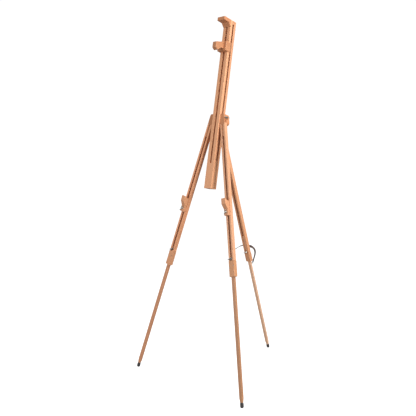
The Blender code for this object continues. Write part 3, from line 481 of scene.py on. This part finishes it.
gap, play, washerThick = 0.0003, 0.0004, 0.0012
headLine = headFrame @ shifted(0, easel["boltBack"], easel["boltHeight"]) @ alongX
headSide = easel["pivotOffset"] + 0.0173 / math.cos(math.radians(easel["splay"])) \
    - (easel["boltHeight"] - easel["pivotHeight"]) * math.tan(math.radians(easel["splay"])) - 0.0027
washerAt = headSide + gap
headStart = -washerAt - washerThick - gap
headNut = washerAt + washerThick + gap
makeWasher("head_washer_right", "head", headLine @ shifted(0, 0, washerAt))
makeWasher("head_washer_left", "head", headLine @ shifted(0, 0, -washerAt - washerThick))
makeBolt("head_bolt", "head", headLine @ shifted(0, 0, headStart), headNut + 0.019 - headStart, 0.0075, 0.085)
# head wing nut's zinc brightened 1.7: painted highlight
makeWingNut("head_wing_nut", "head_nut", headLine @ shifted(0, 0, headNut) @ turned(90, "Z"), 1.2, 1.7)
hingeLine = legFrames["rear"] @ alongX
makeBolt("rear_hinge_bolt", "head", hingeLine @ shifted(0, 0, -0.0178), 0.0371, 0.0075, 0.030)
for side, sign in (("left", -1), ("right", 1)):
    pivotLine = headFrame @ shifted(sign * easel["pivotOffset"], 0.0371, easel["pivotHeight"]) @ alongFront
    makeBolt("front_pivot_bolt_" + side, "head", pivotLine, 0.0461, 0.0075, 0.030)

clampLine = headFrame @ shifted(0, 0, 0.482) @ alongBack
clampSeat = 0.0301 + play
makeWasher("clamp_washer", "clamp", clampLine @ shifted(0, 0, clampSeat), 0.0125)
clampNut = clampSeat + washerThick + gap
makeStud("clamp_stud", "clamp", clampLine, -0.0193 - play - 0.018, clampNut + 0.017, clampSeat - 0.004)
makeWingNut("clamp_wing_nut", "clamp_nut", clampLine @ shifted(0, 0, clampNut) @ turned(90, "Z"))

# Each leg: its slot's end, how far its wing nut is turned, and how bright its zinc is painted: a painted
# highlight above 1, painted shade below 1
legFittings = {"left": (0.834, 20, 0.8), "right": (0.834, 20, 0.8), "rear": (0.826, 8, 2.2)}
lock = {"setback": 0.0095, "headRadius": 0.0095, "past": 0.0155, "studDepth": 0.004}
rivet = {"drop": 0.036, "stagger": 0.006, "across": 0.0145, "reach": 0.01515, "seat": 0.01375}
for side, (slotEnd, nutTurn, paintedLightGain) in legFittings.items():
    leg = legFrames[side]
    line = leg @ shifted(0, 0, lock["setback"] - slotEnd) @ alongFront
    reach = easel["legDepth"] / 2 + play
    end = reach + washerThick + lock["past"]
    if side == "rear":
        makeStud("rear_lock_stud", "rear_rod", line, -lock["studDepth"], end, 0.010)
    else:
        makeBolt(side + "_lock_bolt", side + "_rod", line @ shifted(0, 0, -reach), reach + end,
                 lock["headRadius"], 0.024)
    makeWasher(side + "_lock_washer", side + "_rod", line @ shifted(0, 0, reach))
    makeWingNut(side + "_lock_wing_nut", side + "_lock_nut",
                line @ shifted(0, 0, reach + washerThick + gap) @ turned(nutTurn, "Z"), 1.0, paintedLightGain)
    for label, sign in (("left", -1), ("right", 1)):
        height = sign * rivet["stagger"] - slotEnd - rivet["drop"]
        middle = leg @ shifted(sign * rivet["across"], 0, height) @ alongBack
        makeRivet(f"{side}_leg_rivet_{label}", side + "_leg", middle, rivet["reach"], rivet["seat"])
rest = {"boltPlace": 0.5545, "shank": 0.0185, "past": 0.015, "headRadius": 0.0105, "nutTurn": 70}
for side in ("left", "right"):
    line = legFrames[side] @ shifted(0, 0, -rest["boltPlace"]) @ alongFront
    seat = easel["legDepth"] / 2 + gap
    nutSeat = seat + rest["shank"] + gap
    makeBolt("rest_bolt_" + side, side + "_rest", line @ shifted(0, 0, -seat), seat + nutSeat + rest["past"],
             rest["headRadius"], 0.030)
    nutPlace = line @ shifted(0, 0, nutSeat) @ turned(rest["nutTurn"], "Z")
    # rest wing nuts' zinc brightened 1.7: painted highlight
    makeWingNut("rest_wing_nut_" + side, side + "_rest_nut", nutPlace, 1.0, 1.7)
print("steel done")

# Rubber feet: a ribbed socket over the rod's peg, worn flat where it stands
foot = {"radius": 0.0103, "pegLength": 0.010, "bore": 0.0058,  # ribs: how far in, and down from the top
        "ribs": [(0.0024, 0), (0.0016, 0.0005), (0.0013, 0.0014), (0.0015, 0.0022),
                 (0.0007, 0.0029), (0.0007, 0.0041), (0.0013, 0.0047), (0.0004, 0.0054),
                 (0.0004, 0.0067), (0.0010, 0.0073), (0.0001, 0.0082)]}
legLengths = {"left": 1.6264, "right": 1.6264, "rear": 1.580457}
for side, length in legLengths.items():
    radius = foot["radius"]
    shoulder = length - radius * 0.9 - foot["pegLength"]
    top, socket = shoulder + gap, shoulder + foot["pegLength"] + gap
    profile = [(0, -socket), (foot["bore"], -socket), (foot["bore"], -top)]
    profile += [(radius - inward, -top - below) for inward, below in foot["ribs"]]
    profile += [(radius * math.cos(math.radians(a)), -length - radius * math.sin(math.radians(a)))
                for a in range(-8, 90, 7)] + [(0, -length - radius)]
    shape = spun(profile, 48)
    bmesh.ops.transform(shape, matrix=legFrames[side], verts=shape.verts)
    bmesh.ops.bisect_plane(shape, geom=shape.verts[:] + shape.edges[:] + shape.faces[:], plane_co=(0, 0, 0),
                           plane_no=(0, 0, -1), clear_outer=True)
    bmesh.ops.holes_fill(shape, edges=[edge for edge in shape.edges if edge.is_boundary])
    material = makeRubber(side + " foot rubber", legFrames[side])
    toPiece(side + "_foot_rubber", shape, Matrix.Identity(4), material, side + "_rod",
            (side + "_foot",), 30)
print("feet done")

# Leather strap on the back of the rear leg, with its buckle
strap = {"height": 0.782, "width": 0.016, "thickness": 0.0026, "flat": 0.015, "twist": 0.028, "middle": 8,
         "edge": 0.0008, "buckleWidth": 0.023, "buckleLength": 0.020, "wire": 0.0013}
strapMiddle = 0.0136
strapPath = [(-0.1266, 0.0240, -0.0474), (-0.1083, 0.0240, -0.0373), (-0.0918, 0.0238, -0.0276),
             (-0.0759, 0.0235, -0.0189), (-0.0603, 0.0225, -0.0124), (-0.0451, 0.0200, -0.0070),
             (-0.0300, 0.0172, -0.0030), (-0.0150, 0.0145, -0.0008), (0, strapMiddle, 0),
             (0.0110, 0.0142, -0.0012), (0.0207, 0.0180, -0.0045), (0.0309, 0.0210, -0.0111),
             (0.0401, 0.0235, -0.0203), (0.0446, 0.0240, -0.0349),
             (0.0430, 0.0240, -0.0523), (0.0358, 0.0240, -0.0721), (0.0254, 0.0240, -0.0917),
             (0.0170, 0.0240, -0.1070), (0.0090, 0.0240, -0.1220)]


def smoothPath(points, pieces):
    points = [Vector(point) for point in points]
    padded = [points[0] * 2 - points[1]] + points + [points[-1] * 2 - points[-2]]
    path = []
    for a, b, c, d in zip(padded, padded[1:], padded[2:], padded[3:]):
        for step in range(pieces):
            t = step / pieces
            path.append(0.5 * (2 * b + (c - a) * t + (2 * a - 5 * b + 4 * c - d) * t * t
                               + (3 * b - a - 3 * c + d) * t ** 3))
    return path + [points[-1]]


def stationAt(path, lengths, index):
    here = path[index]
    along = (path[min(index + 1, len(path) - 1)] - path[max(index - 1, 0)]).normalized()
    far = lengths[index] - lengths[6 * strap["middle"]]
    turn = min(max((abs(far) - strap["flat"]) / strap["twist"], 0), 1) * math.pi / 2
    across = Vector((0, math.copysign(math.sin(turn), far), math.cos(turn)))
    across = (across - along * across.dot(along)).normalized()
    return Matrix.Translation(here) @ Matrix((along.cross(across), across, along)).transposed().to_4x4()


path = smoothPath(strapPath, 6)
lengths = [0.0]
for first, second in zip(path, path[1:]):
    lengths.append(lengths[-1] + (second - first).length)
shape = bmesh.new()
layer = shape.loops.layers.uv.new("strapLength")
half, deep, edge = strap["width"] / 2, strap["thickness"] / 2, strap["edge"]
section = [(deep, -half + edge), (deep, -half * 0.5), (deep, half * 0.5), (deep, half - edge),
           (deep - edge, half), (-deep + edge, half), (-deep, half - edge), (-deep, half * 0.5),
           (-deep, -half * 0.5), (-deep, -half + edge), (-deep + edge, -half), (deep - edge, -half)]
start = stationAt(path, lengths, 0)
corners = [shape.verts.new(start @ Vector((x, y, 0))) for x, y in section]
end = [shape.faces.new(corners)]
lastStation = start
for index in range(1, len(path)):
    station = stationAt(path, lengths, index)
    grown = bmesh.ops.extrude_face_region(shape, geom=end)["geom"]
    if index > 1:
        bmesh.ops.delete(shape, geom=end, context="FACES_ONLY")
    end = [piece for piece in grown if isinstance(piece, bmesh.types.BMFace)]
    bmesh.ops.transform(shape, matrix=station @ lastStation.inverted(),
                        verts=[piece for piece in grown if isinstance(piece, bmesh.types.BMVert)])
    lastStation = station
stations = [stationAt(path, lengths, index).inverted() for index in range(len(path))]
for face in shape.faces:
    for loop in face.loops:
        nearest = min(range(len(path)), key=lambda index: (path[index] - loop.vert.co).length)
        local = stations[nearest] @ loop.vert.co
        loop[layer].uv = (lengths[nearest], local.y / strap["width"] + 0.5)
strapFrame = legFrames["rear"] @ shifted(0, 0, -strap["height"])
toPiece("strap_leather", shape, strapFrame, makeLeather("strap leather", strapFrame), "rear_leg",
        ("strap",), 60)

tip, before = Vector(strapPath[-1]), Vector(strapPath[-2])
down = (tip - before).normalized()
out = down.cross(Vector((0, 1, 0))).normalized()
fore = out.cross(down)
frameHalf, frameLong = strap["buckleWidth"] / 2 - strap["wire"], strap["buckleLength"] / 2 - strap["wire"]
seat = tip + down * (strap["wire"] + gap + frameLong)
buckleTurn = Matrix((fore, down, fore.cross(down))).transposed().to_4x4()
buckleFrame = strapFrame @ Matrix.Translation(seat) @ buckleTurn


def wireRing(name, halfWide, halfLong, corner, wire, extra=()):
    curve = bpy.data.curves.new(name, "CURVE")
    curve.dimensions = "3D"
    curve.bevel_depth = wire
    curve.bevel_resolution = 5
    points = []
    for turn, (signX, signY) in enumerate(((1, 1), (-1, 1), (-1, -1), (1, -1))):
        for step in range(7):
            angle = math.radians(90 * turn + 15 * step)
            points.append((signX * (halfWide - corner) + corner * math.cos(angle),
                           signY * (halfLong - corner) + corner * math.sin(angle), 0))
    for line, closed in [(points, True)] + [(list(more), False) for more in extra]:
        spline = curve.splines.new("POLY")
        spline.points.add(len(line) - 1)
        for point, place in zip(spline.points, line):
            point.co = (*place, 1)
        spline.use_cyclic_u = closed
    curve.use_fill_caps = True
    holder = bpy.data.objects.new(name, curve)
    scene.collection.objects.link(holder)
    bpy.context.view_layer.update()
    mesh = bpy.data.meshes.new_from_object(holder.evaluated_get(bpy.context.evaluated_depsgraph_get()))
    bpy.data.objects.remove(holder, do_unlink=True)
    shape = bmesh.new()
    shape.from_mesh(mesh)
    bmesh.ops.remove_doubles(shape, verts=shape.verts, dist=0.00001)
    return shape


prong = [(0, -frameLong, 0.0), (0, -frameLong * 0.5, 0.0006), (0, frameLong * 0.6, 0.0004),
         (0, frameLong, 0.0)]
shape = wireRing("buckle", frameHalf, frameLong, 0.004, strap["wire"], [prong])
toPiece("strap_buckle_steel", shape, buckleFrame, makeZinc("strap buckle zinc", buckleFrame), "rear_leg",
        ("strap_buckle",), 50)
print("strap done")

# Camera, light and floor
view = {"place": (2.120, -2.5947, 1.361), "tilt": 84.39, "turn": 41.78, "lens": 45.71}
camera = bpy.data.objects.new("camera", bpy.data.cameras.new("camera"))
camera.location = view["place"]
camera.rotation_euler = (math.radians(view["tilt"]), 0, math.radians(view["turn"]))
camera.data.lens = view["lens"]
camera.data.sensor_width = 36
scene.collection.objects.link(camera)
scene.camera = camera

studio = {"key": (4.0, -0.3, 3.4, 236, 1.6), "fill": (-0.8, -4.4, 1.3, 84, 2.2),  # place, watts and size
          "top": (0.4, 0.6, 4.6, 44, 2.2)}
for name, (x, y, z, power, size) in studio.items():
    lamp = bpy.data.lights.new(name, "AREA")
    lamp.energy, lamp.size = power, size
    holder = bpy.data.objects.new(name, lamp)
    holder.location = (x, y, z)
    holder.rotation_euler = (Vector((0, 0, 1.2)) - Vector((x, y, z))).to_track_quat("-Z", "Y").to_euler()
    scene.collection.objects.link(holder)

world = bpy.data.worlds.new("studio")
scene.world = world
world.use_nodes = True
sky = world.node_tree
ground = sky.nodes["Background"]
seen = addNode(sky, "LightPath").outputs["Is Camera Ray"]
putIn(sky, ground.inputs["Color"], (1, 1, 1, 1))
putIn(sky, ground.inputs["Strength"], between(sky, seen, 0.0, 1.0, 0.32, 1.05))

shape = bmesh.new()
bmesh.ops.create_grid(shape, x_segments=2, y_segments=2, size=30)
mesh = bpy.data.meshes.new("floor")
shape.to_mesh(mesh)
shape.free()
floor = bpy.data.objects.new("floor", mesh)
scene.collection.objects.link(floor)
paper = bpy.data.materials.new("floor paper")
paper.use_nodes = True
paperTree = paper.node_tree
paperShader = paperTree.nodes["Principled BSDF"]
paperShader.inputs["Base Color"].default_value = (0.30, 0.30, 0.30, 1)
paperShader.inputs["Roughness"].default_value = 0.9
paperShader.inputs["Specular IOR Level"].default_value = 0
paperShader.inputs["Emission Color"].default_value = (1, 1, 1, 1)
paperSeen = addNode(paperTree, "LightPath").outputs["Is Camera Ray"]
putIn(paperTree, paperShader.inputs["Emission Strength"], between(paperTree, paperSeen, 0.0, 1.0, 0.0, 1.0))
mesh.materials.append(paper)
scene.view_settings.view_transform = "Standard"

print("ready")
